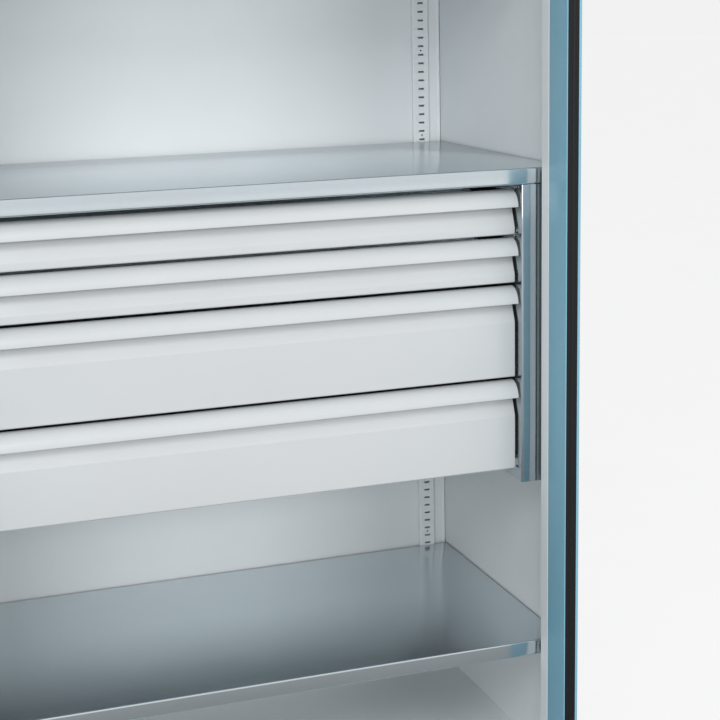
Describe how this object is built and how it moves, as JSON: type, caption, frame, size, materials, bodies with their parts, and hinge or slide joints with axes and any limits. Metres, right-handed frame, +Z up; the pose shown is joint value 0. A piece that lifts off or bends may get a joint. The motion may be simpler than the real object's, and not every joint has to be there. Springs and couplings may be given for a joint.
{
  "type": "heavy-duty drawer cabinet",
  "caption": "Tall open-front steel cabinet with slotted uprights, galvanised shelves and a hung block of sliding drawers with full-width rolled handles.",
  "frame": {"origin": "on the floor under the feet, in the middle of the cabinet's width and depth", "axes": "+Z up, +X to the cabinet's right seen from the front, and the open front faces -Y"},
  "size_m": [1, 0.62, 1.95],
  "materials": {
    "grey_paint": "light grey powder coat",
    "blue_paint": "slate blue powder coat",
    "drawer_paint": "light grey powder coat, satin",
    "galvanised": "galvanised sheet, satin",
    "slide_steel": "zinc plated rolled steel",
    "zinc_plate": "bright zinc plate",
    "foot_zinc": "zinc plated steel",
    "seal_rubber": "black rubber with one raised bead"
  },
  "bodies": {
    "root": {"back_panel": "grey_paint", "base_gussets": "zinc_plate", "door_seal": "seal_rubber", "drawer_1_cabinet_rails": "slide_steel", "drawer_2_cabinet_rails": "slide_steel", "drawer_3_cabinet_rails": "slide_steel", "drawer_4_cabinet_rails": "slide_steel", "floor_panel": "grey_paint", "foot_lock_nuts": "zinc_plate", "frame_bottom_rail": "blue_paint", "frame_stile_left": "blue_paint", "frame_stile_right": "blue_paint", "frame_top_rail": "blue_paint", "front_plinth": "grey_paint", "front_upright_left": "grey_paint", "front_upright_right": "grey_paint", "housing_rear_tie": "galvanised", "housing_screws": "zinc_plate", "housing_side_left": "galvanised", "housing_side_right": "galvanised", "levelling_feet": "foot_zinc", "lower_shelf": "galvanised", "lower_shelf_hooks": "zinc_plate", "rear_upright_left": "grey_paint", "rear_upright_right": "grey_paint", "side_wall_left": "grey_paint", "side_wall_right": "grey_paint", "top_panel": "grey_paint", "top_shelf": "galvanised", "top_shelf_hooks": "zinc_plate", "upper_shelf": "galvanised", "upper_shelf_hooks": "zinc_plate"},
    "drawer_1": {"drawer_1_front": "drawer_paint", "drawer_1_handle": "drawer_paint", "drawer_1_inner_rails": "slide_steel", "drawer_1_tray": "galvanised"},
    "drawer_1_middle": {"drawer_1_ball_cages": "zinc_plate", "drawer_1_bearing_balls": "slide_steel", "drawer_1_middle_rails": "slide_steel"},
    "drawer_2": {"drawer_2_front": "drawer_paint", "drawer_2_handle": "drawer_paint", "drawer_2_inner_rails": "slide_steel", "drawer_2_tray": "galvanised"},
    "drawer_2_middle": {"drawer_2_ball_cages": "zinc_plate", "drawer_2_bearing_balls": "slide_steel", "drawer_2_middle_rails": "slide_steel"},
    "drawer_3": {"drawer_3_front": "drawer_paint", "drawer_3_handle": "drawer_paint", "drawer_3_inner_rails": "slide_steel", "drawer_3_tray": "galvanised"},
    "drawer_3_middle": {"drawer_3_ball_cages": "zinc_plate", "drawer_3_bearing_balls": "slide_steel", "drawer_3_middle_rails": "slide_steel"},
    "drawer_4": {"drawer_4_front": "drawer_paint", "drawer_4_handle": "drawer_paint", "drawer_4_inner_rails": "slide_steel", "drawer_4_tray": "galvanised"},
    "drawer_4_middle": {"drawer_4_ball_cages": "zinc_plate", "drawer_4_bearing_balls": "slide_steel", "drawer_4_middle_rails": "slide_steel"}
  },
  "joints": [
    {"name": "drawer_1_slide", "type": "slide", "parent": "root", "child": "drawer_1", "axis": [0, -1, 0], "range_m": [0, 0.38]},
    {"name": "drawer_1_middle_slide", "type": "slide", "parent": "root", "child": "drawer_1_middle", "axis": [0, -1, 0], "range_m": [0, 0.19]},
    {"name": "drawer_2_slide", "type": "slide", "parent": "root", "child": "drawer_2", "axis": [0, -1, 0], "range_m": [0, 0.38]},
    {"name": "drawer_2_middle_slide", "type": "slide", "parent": "root", "child": "drawer_2_middle", "axis": [0, -1, 0], "range_m": [0, 0.19]},
    {"name": "drawer_3_slide", "type": "slide", "parent": "root", "child": "drawer_3", "axis": [0, -1, 0], "range_m": [0, 0.38]},
    {"name": "drawer_3_middle_slide", "type": "slide", "parent": "root", "child": "drawer_3_middle", "axis": [0, -1, 0], "range_m": [0, 0.19]},
    {"name": "drawer_4_slide", "type": "slide", "parent": "root", "child": "drawer_4", "axis": [0, -1, 0], "range_m": [0, 0.38]},
    {"name": "drawer_4_middle_slide", "type": "slide", "parent": "root", "child": "drawer_4_middle", "axis": [0, -1, 0], "range_m": [0, 0.19]}
  ],
  "couplings": [
    {"joint": "drawer_1_middle_slide", "follows": "drawer_1_slide", "ratio": 0.5},
    {"joint": "drawer_2_middle_slide", "follows": "drawer_2_slide", "ratio": 0.5},
    {"joint": "drawer_3_middle_slide", "follows": "drawer_3_slide", "ratio": 0.5},
    {"joint": "drawer_4_middle_slide", "follows": "drawer_4_slide", "ratio": 0.5}
  ]
}
